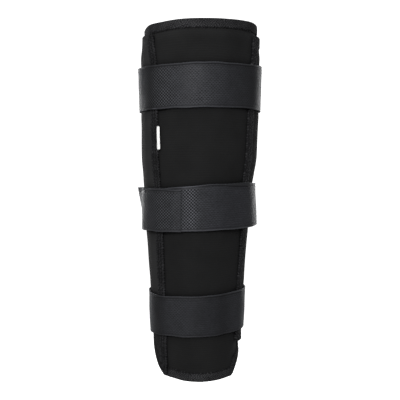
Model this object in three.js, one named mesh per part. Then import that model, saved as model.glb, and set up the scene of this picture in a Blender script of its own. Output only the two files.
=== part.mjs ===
// Lower leg brace: a padded shin panel and a calf wrap with bound edges, held closed by three straps.
// Millimetres. +Z runs up the leg, the shin faces -Y, and +X is on the right seen from the shin.
// The origin lies on the leg's axis, level with the lowest edge of the shin panel.
// A place on the brace is a turn round the leg (0 at the shin, growing to the right), a height,
// and a lift off the skin, which is the outer face of the shin panel.

import * as THREE from 'three';

// ---- Driving sizes ----
const PANEL_WALL = 4.5;     // foam laminate of the shin panel
const PANEL_SQUEEZE = 1.5;  // how far the tape presses the panel's outer face down at its edge
const WRAP_WALL = 2.5;      // laminate of the calf wrap
const WRAP_SQUEEZE = 1.0;   // the same for the wrap
const SQUEEZE_WIDTH = 12;   // width of the pressed border
const SQUEEZE_FADE = 12;    // width in which the wall is full again
const TAPE_WALL = 0.7;      // edge tape
const TAPE_WIDTH = 11;      // width of the tape on each face
const TAPE_GAP = 0.45;      // air between the tape and the wall that it folds over
const WRAP_CLEAR = 0.5;     // air between the wrap's tape and the shin panel
const STRAP_WALL = 2.0;
const STRAP_CLEAR = 0.4;    // air between a strap and what it lies on
const STRAP_LAP = 0.35;     // air between a strap's two layers where it laps itself
const LAP_RAMP = 22.5;      // turn in which the upper layer climbs onto the lower one
const TIP_RUN = 30;         // turn in which a strap's upper edge falls towards its end
const STRAP_STEP = 7.5;     // turn between two cross sections of a strap
const LABEL_WALL = 0.7;

// The form of the leg inside the brace: half width, depth to the shin, depth to the calf, lean to the right.
const SECTIONS = [
  { z: -12, half: 50, shin: 49.9, calf: 53.4, lean: 2.2 },
  { z: 14, half: 50.5, shin: 50, calf: 53.6, lean: 2.3 },
  { z: 41, half: 49.7, shin: 50.4, calf: 54.5, lean: 0.4 },
  { z: 104, half: 52.1, shin: 53, calf: 58.6, lean: 0 },
  { z: 166.5, half: 56.7, shin: 57.5, calf: 66.8, lean: 0.2 },
  { z: 208, half: 59.4, shin: 60.7, calf: 74, lean: 0.9 },
  { z: 232, half: 61.6, shin: 62.9, calf: 78.1, lean: 1.7 },
  { z: 259.5, half: 64.6, shin: 65.4, calf: 81.2, lean: 2.8 },
  { z: 300.5, half: 65.7, shin: 66.8, calf: 82.2, lean: 3.5 },
  { z: 352, half: 65.9, shin: 67.4, calf: 78.6, lean: 3.8 },
  { z: 385, half: 66.5, shin: 68.3, calf: 75.5, lean: 4.1 },
  { z: 396, half: 66.5, shin: 68.6, calf: 74.8, lean: 4.3 },
  { z: 404, half: 68.6, shin: 69.2, calf: 74.4, lean: 4.3 },
  { z: 418, half: 69.6, shin: 69.9, calf: 74, lean: 4.3 },
];

// Edges of the shin panel, by turn: top height and bottom height.
const PANEL_ENDS = [
  { turn: -90, top: 405.3, bottom: 1 },
  { turn: -72, top: 407, bottom: 1.2 },
  { turn: -60, top: 408.4, bottom: 1.2 },
  { turn: -40, top: 407.6, bottom: 1.6 },
  { turn: -20, top: 408, bottom: 0.4 },
  { turn: 0, top: 408.1, bottom: 0 },
  { turn: 25, top: 408.8, bottom: 0.7 },
  { turn: 45, top: 410.1, bottom: 1.8 },
  { turn: 65, top: 411.6, bottom: 1.8 },
  { turn: 90, top: 412.8, bottom: 1 },
];
// Sides of the shin panel, by height, as turns.
const PANEL_SIDES = [
  { z: 0, left: -86, right: 50 },
  { z: 7, left: -86, right: 57 },
  { z: 13, left: -86, right: 63 },
  { z: 20.5, left: -86, right: 72 },
  { z: 28, left: -86, right: 83.5 },
  { z: 34, left: -86, right: 87 },
  { z: 45, left: -86, right: 87.5 },
  { z: 100, left: -86, right: 88 },
  { z: 410, left: -86, right: 88 },
];
// Corners: the radius and how far the edge turns there before it meets the end.
const SQUARE = 90;
const PANEL_CORNERS = {
  bottomLeft: { radius: 51, bend: 60 }, bottomRight: { radius: 3, bend: SQUARE },
  topRight: { radius: 17, bend: SQUARE }, topLeft: { radius: 11, bend: SQUARE },
};

// Edges of the calf wrap, by turn from its right edge round the back to its left edge.
const WRAP_ENDS = [
  { turn: 45, top: 396.3, bottom: 41.5 },
  { turn: 90, top: 397.6, bottom: 38.5 },
  { turn: 180, top: 398.8, bottom: 33 },
  { turn: 262, top: 397.8, bottom: 38 },
  { turn: 275, top: 397.4, bottom: 33 },
  { turn: 287, top: 397.6, bottom: 20.5 },
  { turn: 300, top: 397.7, bottom: 10.3 },
  { turn: 306, top: 397.3, bottom: 6 },
  { turn: 312, top: 396.9, bottom: 2.8 },
  { turn: 318, top: 396.4, bottom: 2.4 },
];
const WRAP_SIDES = [
  { z: 2, right: 60, left: 314 },
  { z: 53, right: 60.2, left: 316.4 },
  { z: 107, right: 61.8, left: 316.9 },
  { z: 140, right: 62.3, left: 317.7 },
  { z: 172, right: 60.9, left: 318.5 },
  { z: 228, right: 54.6, left: 317 },
  { z: 266, right: 53.4, left: 315.8 },
  { z: 310, right: 54.4, left: 315 },
  { z: 364, right: 59.5, left: 315 },
  { z: 386, right: 61.6, left: 313 },
  { z: 397, right: 62.7, left: 312 },
];
const WRAP_CORNER = { radius: 5, bend: SQUARE };
// Lift of the wrap's inner face: over the shin panel at both front edges, on the leg at the back.
const OVER_PANEL = WRAP_CLEAR + TAPE_WALL + TAPE_GAP;
const WRAP_LIFT = [
  { turn: 40, lift: OVER_PANEL },
  { turn: 91, lift: OVER_PANEL },
  { turn: 125, lift: -1.2 },
  { turn: 162, lift: -PANEL_WALL },
  { turn: 198, lift: -PANEL_WALL },
  { turn: 235, lift: -1.2 },
  { turn: 271, lift: OVER_PANEL },
  { turn: 325, lift: OVER_PANEL },
];

// Straps: height of the upper edge at the shin, width, rise of that edge from the middle to the right and from
// the shin to the sides, turn where the band starts and how far round it goes, how far the upper edge falls
// towards the band's end, how far its upper and lower edges stand off at the left, right, shin and calf, the turn
// where an edge curls away from the wrap, and the turns where an edge is pulled up or down a little.
const STRAPS = [
  { name: 'top_strap', top: 360.4, width: 49.0, rise: { right: 1.15, sides: 1.6 }, start: -170, laps: 405, tip: 0.0,
    upper: { left: 1.5, right: 0.7, shin: 0.0, calf: 0.0 }, lower: { left: 0.0, right: 0.0, shin: 0.3, calf: 0.6 },
    flare: { turn: 262, spread: 14, upper: 1.2, lower: 0.0 },
    pulls: [{ turn: -88, spread: 22, upper: 1.6, lower: -0.6 }, { turn: 86, spread: 22, upper: 2.2, lower: -2.6 }] },
  { name: 'middle_strap', top: 224.7, width: 49.8, rise: { right: 2.4, sides: -0.8 }, start: -61.5, laps: 405, tip: 2.5,
    upper: { left: 0.0, right: 1.0, shin: 0.0, calf: 0.0 }, lower: { left: 2.8, right: 7.8, shin: 2.0, calf: 3.0 },
    flare: { turn: 252, spread: 9, upper: 11.4, lower: 0.0 },
    pulls: [{ turn: -92, spread: 20, upper: 0.0, lower: 3.8 }, { turn: 5, spread: 20, upper: 1.6, lower: 0.0 },
      { turn: 48, spread: 30, upper: 2.8, lower: 0.0 }, { turn: 88, spread: 24, upper: 0.6, lower: 1.6 }] },
  { name: 'bottom_strap', top: 100.7, width: 48.0, rise: { right: 2.45, sides: 0.45 }, start: -170, laps: 405, tip: 0.0,
    upper: { left: 0.0, right: 0.0, shin: 0.0, calf: 0.0 }, lower: { left: 0.8, right: 0.0, shin: 0.5, calf: 0.8 },
    flare: { turn: 256, spread: 12, upper: 0.3, lower: 0.3 },
    pulls: [{ turn: -90, spread: 25, upper: 0.8, lower: -1.2 }, { turn: 90, spread: 25, upper: -0.6, lower: -0.4 }] },
];

// Label: heights, and its section as turns past the wrap's left edge and lifts of its under side.
const LABEL_HEIGHTS = { bottom: 266.2, top: 292 };
const LABEL_SECTION = [
  { past: 0.3, lift: 4.75 },
  { past: 1.2, lift: 4.6 },
  { past: 2.2, lift: 4.1 },
  { past: 3.1, lift: 3.4 },
  { past: 3.9, lift: 2.8 },
];

const COLOUR = { panel: 0x1d1d1f, tape: 0x2b2c2e, wrap: 0x242526, strap: 0x2c2e32, label: 0xf6f6f4 };

// ---- Curves and places ----
const rad = (degrees) => (degrees * Math.PI) / 180;
const mix = (a, b, t) => a + (b - a) * t;
const bell = (x, spread) => Math.exp(-((x / spread) ** 2));
const ease = (t) => { const c = Math.min(1, Math.max(0, t)); return c * c * (3 - 2 * c); };

// A column of a table as a smooth curve that doesn't overshoot its rows.
function curve(table, key, column) {
  const at = table.map((row) => row[key]);
  const value = table.map((row) => row[column]);
  const last = at.length - 1;
  const slope = (i) => (value[i + 1] - value[i]) / (at[i + 1] - at[i]);
  const tangent = at.map((_, i) => {
    if (i === 0 || i === last) return 0;
    const before = slope(i - 1), after = slope(i);
    return before * after <= 0 ? 0 : (2 * before * after) / (before + after);
  });
  if (last > 0) { tangent[0] = slope(0); tangent[last] = slope(last - 1); }
  return (x) => {
    if (x <= at[0]) return value[0];
    if (x >= at[last]) return value[last];
    let i = 0;
    while (x > at[i + 1]) i++;
    const span = at[i + 1] - at[i], t = (x - at[i]) / span;
    const h = t * t * (3 - 2 * t);
    return value[i] * (1 - h) + value[i + 1] * h
      + span * (tangent[i] * t * (1 - t) * (1 - t) - tangent[i + 1] * t * t * (1 - t));
  };
}

const half = curve(SECTIONS, 'z', 'half');
const shin = curve(SECTIONS, 'z', 'shin');
const calf = curve(SECTIONS, 'z', 'calf');
const lean = curve(SECTIONS, 'z', 'lean');

// The point at a turn (degrees), height and lift.
function place(turn, z, lift) {
  const s = Math.sin(rad(turn)), c = Math.cos(rad(turn));
  const a = half(z), b = c >= 0 ? shin(z) : calf(z);
  const nx = s / a, ny = -c / b, n = Math.hypot(nx, ny);
  return [lean(z) + a * s + (lift * nx) / n, -b * c + (lift * ny) / n, z];
}

// Turn, in degrees, of one millimetre along the skin at a height.
const turnOf = (z) => 180 / Math.PI / ((half(z) + shin(z)) / 2);

// ---- Solids ----
// One mesh from points and faces; the faces are turned over if they point in.
function solid(name, points, faces, colour, roughness) {
  let volume = 0;
  for (const [i, j, k] of faces) {
    const [a, b, c] = [points[i], points[j], points[k]];
    volume += a[0] * (b[1] * c[2] - b[2] * c[1]) + a[1] * (b[2] * c[0] - b[0] * c[2]) + a[2] * (b[0] * c[1] - b[1] * c[0]);
  }
  const outward = volume > 0 ? faces : faces.map(([i, j, k]) => [i, k, j]);
  const geometry = new THREE.BufferGeometry();
  geometry.setAttribute('position', new THREE.Float32BufferAttribute(points.flat(), 3));
  geometry.setIndex(outward.flat());
  geometry.computeVertexNormals();
  const mesh = new THREE.Mesh(geometry, new THREE.MeshStandardMaterial({ color: colour, roughness, metalness: 0 }));
  mesh.name = name;
  return mesh;
}

// A wall between two layers, one over the other, closed round its rim. A layer is a grid of points,
// with a border of points outside it if it has one.
function wall(name, outer, inner, colour, roughness) {
  const rows = outer.grid.length, columns = outer.grid[0].length;
  const layer = ({ grid, border = [] }) => [...grid.flat(), ...border];
  const points = [...layer(outer), ...layer(inner)], shift = points.length / 2, faces = [];
  const quad = (a, b, c, d) => faces.push([a, b, c], [a, c, d]);
  const both = (a, b, c, d) => { quad(a, b, c, d); quad(shift + a, shift + d, shift + c, shift + b); };
  for (let j = 0; j + 1 < rows; j++) {
    for (let i = 0; i + 1 < columns; i++) {
      const a = j * columns + i;
      both(a, a + 1, a + columns + 1, a + columns);
    }
  }
  let rim = [];
  for (let i = 0; i < columns - 1; i++) rim.push(i);
  for (let j = 0; j < rows - 1; j++) rim.push(j * columns + columns - 1);
  for (let i = columns - 1; i > 0; i--) rim.push((rows - 1) * columns + i);
  for (let j = rows - 1; j > 0; j--) rim.push(j * columns);
  const next = (list, n) => list[(n + 1) % list.length];
  if (outer.border) {
    const border = rim.map((_, n) => rows * columns + n);
    rim.forEach((a, n) => both(border[n], next(border, n), next(rim, n), a));
    rim = border;
  }
  rim.forEach((a, n) => quad(a, shift + a, shift + next(rim, n), next(rim, n)));
  return solid(name, points, faces, colour, roughness);
}

// A ring of equal sections, closed on itself.
function ring(name, sections, colour, roughness) {
  const n = sections.length, m = sections[0].length, faces = [];
  for (let i = 0; i < n; i++) {
    for (let j = 0; j < m; j++) {
      const a = i * m + j, b = i * m + ((j + 1) % m), d = ((i + 1) % n) * m + j, c = ((i + 1) % n) * m + ((j + 1) % m);
      faces.push([a, b, c], [a, c, d]);
    }
  }
  return solid(name, sections.flat(), faces, colour, roughness);
}

// ---- Sheets: a piece cut to an outline on the skin ----
const ARC_STEPS = 2; // steps in each half of a corner

// How much longer than its run a slanted edge is; k turns its rise into mm for one mm of run.
const tilt = (edge, at, k) => Math.hypot(1, ((edge(at + 1) - edge(at - 1)) / 2) * k);

// The outline set in by a distance, as four sides that meet in the middle of the corners. Points between the
// corners keep their turn or height for every distance, so that the layers of a sheet have the same creases.
function outline(sheet, inset) {
  const { top, bottom, left, right, corners, across, up, crowd } = sheet;
  const spans = inset === TAPE_WIDTH / 2 ? null : (sheet.spans ??= outline(sheet, TAPE_WIDTH / 2).spans);
  const low = (turn) => bottom(turn) + inset * tilt(bottom, turn, turnOf(bottom(turn)));
  const high = (turn) => top(turn) - inset * tilt(top, turn, turnOf(top(turn)));
  const onLeft = (z) => left(z) + inset * turnOf(z) * tilt(left, z, 1 / turnOf(z));
  const onRight = (z) => right(z) - inset * turnOf(z) * tilt(right, z, 1 / turnOf(z));
  // A corner's place at t, 0 on the side and 1 on the end.
  const corner = (end, side, { radius, bend }, t) => {
    const rest = radius * Math.sin(rad(bend)) - inset, round = radius - inset > 0.8 && rest > 0.05 * (radius - inset);
    const r = round ? radius - inset : 0.8, k = round ? Math.min(1, rest / r) : 1, a = t * Math.asin(k);
    const inward = side === onLeft ? 1 : -1, upward = end === low ? 1 : -1;
    let z = end(side(sheet.middle)), turn = 0;
    for (let n = 0; n < 12; n++) {
      turn = side(z) + inward * r * (1 - Math.cos(a)) * turnOf(z);
      z = end(turn) + upward * r * (k - Math.sin(a));
    }
    return [turn, z];
  };
  const bl = (t) => corner(low, onLeft, corners.bottomLeft, t), br = (t) => corner(low, onRight, corners.bottomRight, t);
  const tl = (t) => corner(high, onLeft, corners.topLeft, t), tr = (t) => corner(high, onRight, corners.topRight, t);
  const steps = (n) => Array.from({ length: n + 1 }, (_, i) => i / n);
  const arcs = steps(ARC_STEPS).map((t) => 0.5 + t / 2);
  const side = (first, second, count, straight) => [
    ...arcs.map(first),
    ...steps(count).slice(1, -1).map(straight),
    ...arcs.map((t) => 1.5 - t).map(second),
  ];
  const ends = (first, second, end, [a, b]) =>
    side(first, second, across, (t) => { const turn = mix(a, b, t); return [turn, end(turn)]; });
  const flank = (first, second, edge, [a, b]) =>
    side((t) => first(1 - t), (t) => second(1 - t), up, (t) => { const z = mix(a, b, t ** crowd); return [edge(z), z]; });
  const own = {
    low: [bl(1)[0], br(1)[0]], high: [tl(1)[0], tr(1)[0]], left: [bl(0)[1], tl(0)[1]], right: [br(0)[1], tr(0)[1]],
  };
  const over = spans ?? own;
  return {
    low: ends(bl, br, low, over.low), high: ends(tl, tr, high, over.high),
    left: flank(bl, tl, onLeft, over.left), right: flank(br, tr, onRight, over.right), spans: own,
  };
}

// The four sides as one loop.
function loop({ low, high, left, right }) {
  return [...low.slice(0, -1), ...right.slice(0, -1), ...high.slice(1).reverse(), ...left.slice(1).reverse()];
}

// A grid of places that fills the outline.
function fill({ low, high, left, right }) {
  return left.map((_, j) => low.map((__, i) => {
    const u = i / (low.length - 1), v = j / (left.length - 1);
    return [0, 1].map((k) => mix(low[i][k], high[i][k], v) + mix(left[j][k], right[j][k], u)
      - mix(mix(low[0][k], low[low.length - 1][k], u), mix(high[0][k], high[low.length - 1][k], u), v));
  }));
}

// How far a place is from the sheet's edge, along the skin.
function fromEdge(edge, [turn, z]) {
  let nearest = Infinity;
  edge.forEach(([t0, z0], n) => {
    const [t1, z1] = edge[(n + 1) % edge.length];
    const k = 1 / turnOf(z), ax = (t0 - turn) * k, ay = z0 - z, dx = (t1 - t0) * k, dy = z1 - z0;
    const t = Math.min(1, Math.max(0, -(ax * dx + ay * dy) / (dx * dx + dy * dy || 1)));
    nearest = Math.min(nearest, Math.hypot(ax + t * dx, ay + t * dy));
  });
  return nearest;
}

// The cut sheet and the tape folded over its edge. face and back give the lift of its two faces.
function boundSheet(sheet, names, colours) {
  const edge = loop(outline(sheet, 0));
  const grid = fill(outline(sheet, SQUEEZE_WIDTH)), border = loop(outline(sheet, TAPE_WALL + TAPE_GAP));
  const layer = (to) => {
    const lifted = (at) => place(at[0], at[1], to(at, fromEdge(edge, at)));
    return { grid: grid.map((row) => row.map(lifted)), border: border.map(lifted) };
  };
  const body = wall(names.body, layer(sheet.face), layer(sheet.back), colours.body, 0.9);
  const at = { rim: edge, fold: loop(outline(sheet, TAPE_WALL)), end: loop(outline(sheet, TAPE_WIDTH)) };
  const out = TAPE_GAP + TAPE_WALL;
  const tape = edge.map((_, n) => {
    const face = (p, w, more) => place(p[0], p[1], sheet.face(p, w) + more);
    const back = (p, w, more) => place(p[0], p[1], sheet.back(p, w) - more);
    const rim = at.rim[n], fold = at.fold[n], end = at.end[n];
    return [
      face(end, TAPE_WIDTH, TAPE_GAP), face(end, TAPE_WIDTH, out), face(rim, 0, out), back(rim, 0, out),
      back(end, TAPE_WIDTH, out), back(end, TAPE_WIDTH, TAPE_GAP), back(fold, 0, TAPE_GAP), face(fold, 0, TAPE_GAP),
    ];
  });
  return [body, ring(names.tape, tape, colours.tape, 0.95)];
}

const pressed = (squeeze, w) => squeeze * (1 - ease((w - SQUEEZE_WIDTH) / SQUEEZE_FADE));
const wrapLift = curve(WRAP_LIFT, 'turn', 'lift');

const shinPanel = {
  top: curve(PANEL_ENDS, 'turn', 'top'), bottom: curve(PANEL_ENDS, 'turn', 'bottom'),
  left: curve(PANEL_SIDES, 'z', 'left'), right: curve(PANEL_SIDES, 'z', 'right'),
  corners: PANEL_CORNERS, middle: 200, across: 20, up: 12, crowd: 1.5, // crowd puts more rows at the bottom
  face: (at, w) => -pressed(PANEL_SQUEEZE, w), back: () => -PANEL_WALL,
};
const calfWrap = {
  top: curve(WRAP_ENDS, 'turn', 'top'), bottom: curve(WRAP_ENDS, 'turn', 'bottom'),
  left: curve(WRAP_SIDES, 'z', 'right'), right: curve(WRAP_SIDES, 'z', 'left'),
  corners: { bottomLeft: WRAP_CORNER, bottomRight: WRAP_CORNER, topRight: WRAP_CORNER, topLeft: WRAP_CORNER },
  middle: 200, across: 34, up: 11, crowd: 1,
  face: (at, w) => wrapLift(at[0]) + WRAP_WALL - pressed(WRAP_SQUEEZE, w), back: (at) => wrapLift(at[0]),
};

// ---- Straps ----
// The taut line round all that a strap lies on at a height: a convex outline in plan.
function tautLine(z) {
  const lies = [];
  for (let turn = 0; turn < 360; turn += 2.5) {
    const edge = { right: calfWrap.left(z), left: calfWrap.right(z) };
    const wrapped = turn >= edge.right && turn <= edge.left;
    const under = wrapped ? wrapLift(turn) + WRAP_WALL - WRAP_SQUEEZE + TAPE_GAP + TAPE_WALL : 0;
    lies.push(place(turn, z, Math.max(under, wrapped ? wrapLift(turn) + WRAP_WALL : 0) + STRAP_CLEAR));
    if (wrapped && (turn - edge.right < 2.5 || edge.left - turn < 2.5)) {
      const at = turn - edge.right < 2.5 ? edge.right : edge.left;
      lies.push(place(at, z, under + STRAP_CLEAR));
    }
  }
  const sorted = lies.map(([x, y]) => [x, y]).sort((p, q) => p[0] - q[0] || p[1] - q[1]);
  const turnsLeft = (o, p, q) => (p[0] - o[0]) * (q[1] - o[1]) - (p[1] - o[1]) * (q[0] - o[0]) > 0;
  const chain = (points) => points.reduce((line, p) => {
    while (line.length > 1 && !turnsLeft(line[line.length - 2], line[line.length - 1], p)) line.pop();
    line.push(p);
    return line;
  }, []);
  return [...chain(sorted).slice(0, -1), ...chain(sorted.reverse()).slice(0, -1)];
}

// Distance from the leg's axis to the taut line in the direction of a turn.
function reach(line, turn, z) {
  const dx = Math.sin(rad(turn)), dy = -Math.cos(rad(turn)), ox = lean(z);
  let far = 0;
  line.forEach((p, n) => {
    const q = line[(n + 1) % line.length], ex = q[0] - p[0], ey = q[1] - p[1], det = dx * ey - dy * ex;
    if (Math.abs(det) < 1e-9) return;
    const t = ((p[0] - ox) * ey - p[1] * ex) / det, s = ((p[0] - ox) * dy - p[1] * dx) / det;
    if (t > 0 && s >= -1e-9 && s <= 1 + 1e-9) far = Math.max(far, t);
  });
  return far;
}

// How far an edge of a strap stands off the taut line.
function standOff(off, turn) {
  const s = Math.sin(rad(turn)), c = Math.cos(rad(turn));
  return s * s * (s > 0 ? off.right : off.left) + c * c * (c > 0 ? off.shin : off.calf);
}

function strapBand(strap) {
  const count = Math.round(strap.laps / STRAP_STEP), sections = [];
  const chord = 1 / Math.cos(rad(STRAP_STEP / 2)); // keeps the flats of the band clear of the taut line
  for (let n = 0; n <= count; n++) {
    const turn = strap.start + n * STRAP_STEP;
    let up = strap.top + strap.rise.right * Math.sin(rad(turn)) + strap.rise.sides * (1 - Math.cos(rad(turn))), drop = 0;
    for (const pull of strap.pulls) {
      const near = bell(((turn - pull.turn + 900) % 360) - 180, pull.spread);
      up += pull.upper * near;
      drop += (pull.lower - pull.upper) * near;
    }
    const fall = strap.tip * ease((turn - (strap.start + strap.laps - TIP_RUN - 4)) / TIP_RUN);
    up -= fall;
    drop += fall;
    const lap = (STRAP_WALL + STRAP_LAP) * ease((turn - (strap.start + 360 - LAP_RAMP)) / LAP_RAMP + 0.05);
    const curl = bell(turn - strap.flare.turn, strap.flare.spread);
    const need = (z) => {
      const line = tautLine(z);
      return Math.max(...[-0.5, -0.25, 0, 0.25, 0.5].map((k) => reach(line, turn + k * STRAP_STEP, z))) * chord;
    };
    // The lower edge lies one strap width down the slope of the band.
    const atUp = need(up);
    let low = up - strap.width, upper = 0, lower = 0;
    for (let pass = 0; pass < 3; pass++) {
      const atLow = need(low), rise = Math.max(0, need((up + low) / 2) - (atUp + atLow) / 2);
      upper = atUp + rise + lap + standOff(strap.upper, turn) + strap.flare.upper * curl;
      lower = atLow + rise + lap + standOff(strap.lower, turn) + strap.flare.lower * curl;
      low = up + drop - Math.sqrt(strap.width ** 2 - (upper - lower) ** 2);
    }
    const edge = (r, z) => [r, r + STRAP_WALL].map((d) => [lean(z) + d * Math.sin(rad(turn)), -d * Math.cos(rad(turn)), z]);
    const [upIn, upOut] = edge(upper, up), [lowIn, lowOut] = edge(lower, low);
    sections.push([lowIn, lowOut, upOut, upIn]);
  }
  const points = sections.flat(), faces = [];
  for (let n = 0; n < count; n++) {
    for (let j = 0; j < 4; j++) {
      const a = n * 4 + j, b = n * 4 + ((j + 1) % 4), c = b + 4, d = a + 4;
      faces.push([a, b, c], [a, c, d]);
    }
  }
  const e = count * 4;
  faces.push([0, 2, 1], [0, 3, 2], [e, e + 1, e + 2], [e, e + 2, e + 3]);
  return solid(strap.name, points, faces, COLOUR.strap, 0.8);
}

// ---- Label ----
function sideLabel() {
  const heights = [0, 1 / 3, 2 / 3, 1].map((t) => mix(LABEL_HEIGHTS.bottom, LABEL_HEIGHTS.top, t));
  const layer = (more) => ({ grid: heights.map((z) => LABEL_SECTION.map(({ past, lift }) => place(calfWrap.right(z) + past, z, lift + more))) });
  return wall('side_label', layer(LABEL_WALL), layer(0), COLOUR.label, 0.5);
}

// ---- The brace ----
const brace = new THREE.Group();
brace.add(
  ...boundSheet(shinPanel, { body: 'front_panel', tape: 'front_binding' }, { body: COLOUR.panel, tape: COLOUR.tape }),
  ...boundSheet(calfWrap, { body: 'back_wrap', tape: 'wrap_binding' }, { body: COLOUR.wrap, tape: COLOUR.tape }),
  ...STRAPS.map(strapBand),
  sideLabel(),
);

export default brace;
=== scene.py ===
"""Lower leg brace: shin panel and calf wrap with taped edges, three hook-and-loop straps and a blank side label."""
import math

import bpy
import numpy as np
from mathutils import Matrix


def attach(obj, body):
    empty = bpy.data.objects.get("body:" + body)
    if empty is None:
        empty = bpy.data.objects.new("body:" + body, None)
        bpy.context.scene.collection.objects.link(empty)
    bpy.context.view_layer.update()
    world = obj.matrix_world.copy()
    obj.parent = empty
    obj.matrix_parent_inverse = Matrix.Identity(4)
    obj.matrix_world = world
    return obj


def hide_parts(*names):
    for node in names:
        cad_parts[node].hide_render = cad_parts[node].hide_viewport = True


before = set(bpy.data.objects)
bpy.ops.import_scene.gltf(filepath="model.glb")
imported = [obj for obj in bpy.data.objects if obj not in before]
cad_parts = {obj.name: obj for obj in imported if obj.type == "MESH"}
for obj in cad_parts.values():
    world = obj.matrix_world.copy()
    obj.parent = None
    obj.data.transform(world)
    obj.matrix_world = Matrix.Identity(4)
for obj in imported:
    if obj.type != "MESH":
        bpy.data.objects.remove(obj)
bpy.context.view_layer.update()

# ---------------------------------------------------------------- tables, in mm and degrees, as in the CAD
PANEL_WALL, PANEL_SQUEEZE = 4.5, 1.5
WRAP_WALL, WRAP_SQUEEZE = 2.5, 1.0
SQUEEZE_WIDTH, SQUEEZE_FADE = 12.0, 12.0
TAPE_WALL, TAPE_WIDTH, TAPE_GAP = 0.7, 11.0, 0.45
WRAP_CLEAR = 0.5
STRAP_WALL, STRAP_CLEAR, STRAP_LAP, LAP_RAMP = 2.0, 0.4, 0.35, 22.5
OVER_PANEL = WRAP_CLEAR + TAPE_WALL + TAPE_GAP
CELL = 1.75               # one light or dark cell of the strap's loop pattern
STITCH = 4.2              # pitch of the tape's stitches
# z, half width, depth to the shin, depth to the calf, lean
SECTIONS = [
    (-12, 50, 49.9, 53.4, 2.2), (14, 50.5, 50, 53.6, 2.3), (41, 49.7, 50.4, 54.5, 0.4), (104, 52.1, 53, 58.6, 0),
    (166.5, 56.7, 57.5, 66.8, 0.2), (208, 59.4, 60.7, 74, 0.9), (232, 61.6, 62.9, 78.1, 1.7),
    (259.5, 64.6, 65.4, 81.2, 2.8), (300.5, 65.7, 66.8, 82.2, 3.5), (352, 65.9, 67.4, 78.6, 3.8),
    (385, 66.5, 68.3, 75.5, 4.1), (396, 66.5, 68.6, 74.8, 4.3), (404, 67.65, 69.2, 74.4, 4.45),
    (418, 68.3, 69.9, 74, 4.3),
]
# turn, top, bottom
PANEL_ENDS = [
    (-90, 405.3, 1), (-72, 407, 1.2), (-60, 408.4, 1.2), (-40, 407.6, 1.6), (-20, 408, 0.4), (0, 408.1, 0),
    (25, 408.8, 0.7), (45, 410.1, 1.8), (65, 411.4, 1.8), (90, 411.2, 1),
]
# z, left, right
PANEL_SIDES = [
    (0, -86, 50), (7, -86, 57), (13, -86, 63), (20.5, -86, 72), (28, -86, 83.5), (34, -86, 87), (45, -86, 87.5),
    (100, -86, 88), (410, -86, 88),
]
# radius and turn of each corner
PANEL_CORNERS = dict(bl=(51, 60), br=(3, 90), tr=(17, 90), tl=(7, 90))
WRAP_ENDS = [
    (45, 396.3, 41.5), (90, 397.6, 38.5), (180, 398.8, 33), (262, 399.1, 38), (275, 398.7, 33), (287, 398.3, 20.5),
    (300, 397.7, 10.3), (306, 397.3, 6), (312, 396.9, 2.8), (318, 396.4, 2.4),
]
# z, right edge, left edge
WRAP_SIDES = [
    (2, 60, 314), (53, 60.2, 316.4), (107, 61.8, 316.9), (140, 62.3, 317.7), (172, 60.9, 318.5), (228, 54.6, 317),
    (266, 53.4, 315.8), (310, 54.4, 315), (364, 59.5, 313.8), (386, 61.6, 310), (397, 62.7, 308.4),
]
WRAP_CORNERS = dict(bl=(5, 90), br=(5, 90), tr=(5, 90), tl=(5, 90))
# turn, lift of the wrap's under side
WRAP_LIFT = [
    (40, OVER_PANEL), (91, OVER_PANEL), (125, -1.2), (162, -PANEL_WALL), (198, -PANEL_WALL), (235, -1.2),
    (271, OVER_PANEL), (325, OVER_PANEL),
]
# tip: how far the upper edge falls towards the strap's end; pulls: turn, spread, upper edge, lower edge
STRAPS = {
    "top_strap": dict(
        top=360.4, width=49.0, right=1.15, sides=1.6, start=-170, laps=405, tip=0.0,
        upper=dict(left=1.5, right=0.7, shin=0.0, calf=0.0), lower=dict(left=0.0, right=0.0, shin=0.3, calf=0.6),
        flare=dict(turn=262, spread=14, upper=1.2, lower=0.0), pulls=[(-88, 22, 1.6, -0.6), (86, 22, 2.2, -2.6)]),
    "middle_strap": dict(
        top=224.7, width=49.8, right=2.4, sides=-0.8, start=-61.5, laps=405, tip=2.5,
        upper=dict(left=0.0, right=1.0, shin=0.0, calf=0.0), lower=dict(left=2.8, right=7.8, shin=2.0, calf=3.0),
        flare=dict(turn=252, spread=9, upper=11.4, lower=0.0),
        pulls=[(-92, 20, 0.0, 3.8), (5, 20, 1.6, 0.0), (48, 30, 2.8, 0.0), (88, 24, 0.6, 1.6)]),
    "bottom_strap": dict(
        top=100.7, width=48.0, right=2.45, sides=0.45, start=-170, laps=405, tip=0.0,
        upper=dict(left=0.0, right=0.0, shin=0.0, calf=0.0), lower=dict(left=0.8, right=0.0, shin=0.5, calf=0.8),
        flare=dict(turn=256, spread=12, upper=0.3, lower=0.3), pulls=[(-90, 25, 0.8, -1.2), (90, 25, -0.6, -0.4)]),
}
LABEL_HEIGHTS = (266.2, 292.0)
LABEL_SECTION = [(1.3, 3.9), (1.9, 3.75), (2.6, 3.45), (3.3, 3.1), (3.9, 2.8)]   # turn past the wrap's left edge, lift


# ---------------------------------------------------------------- curves and sections
def ease(t):
    t = np.clip(t, 0, 1)
    return t * t * (3 - 2 * t)


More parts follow.
